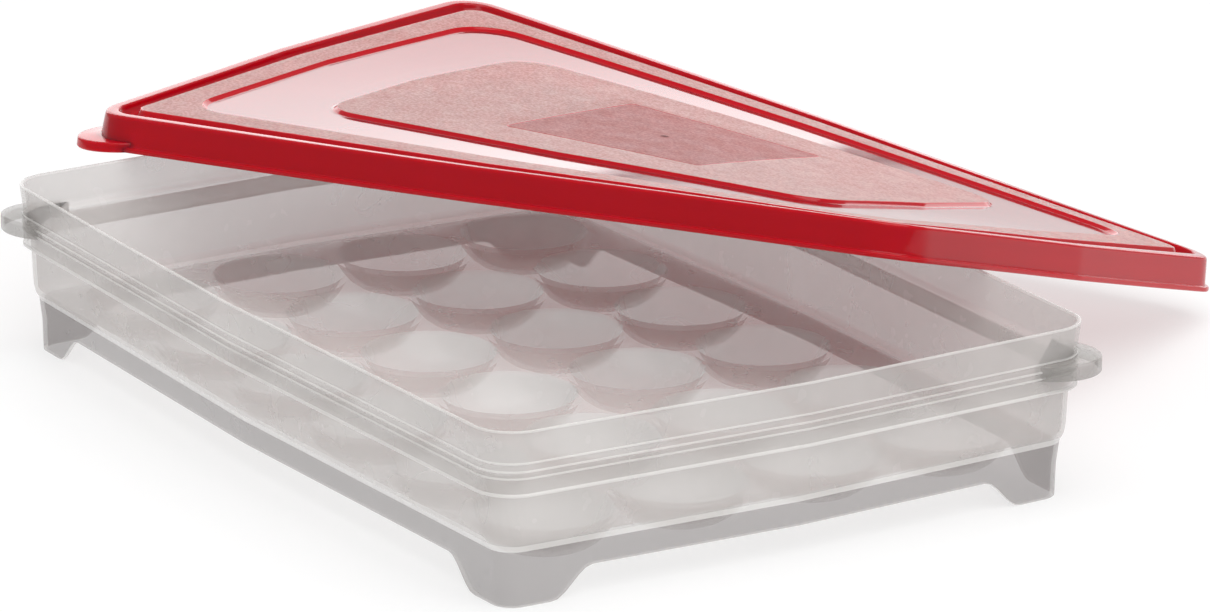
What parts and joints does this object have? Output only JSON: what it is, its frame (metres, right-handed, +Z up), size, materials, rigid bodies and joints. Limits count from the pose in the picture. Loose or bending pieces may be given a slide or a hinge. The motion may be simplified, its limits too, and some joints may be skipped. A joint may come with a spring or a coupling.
{
  "type": "egg holder tray",
  "caption": "Long shallow translucent egg tray with round cups in its floor, corner feet, corner tabs and a loose red lid lying askew on top.",
  "frame": {"origin": "middle of the footprint of tray and lid together, at the height of the table the feet stand on", "axes": "+X along the rows of six cups, +Y along the rows of four cups, +Z up"},
  "size_m": [0.4324, 0.3746, 0.0854],
  "materials": {
    "milky_plastic": "translucent natural polypropylene, frosted, with glossy edges",
    "red_plastic": "translucent red polypropylene, glossy with frosted panel and border"
  },
  "bodies": {
    "tray": {"tray": "milky_plastic"},
    "lid": {"lid": "red_plastic"}
  },
  "joints": [
    {"name": "lid_lift", "type": "slide", "parent": "tray", "child": "lid", "axis": [0, 0, 1], "range_m": [0, 0.12]}
  ]
}
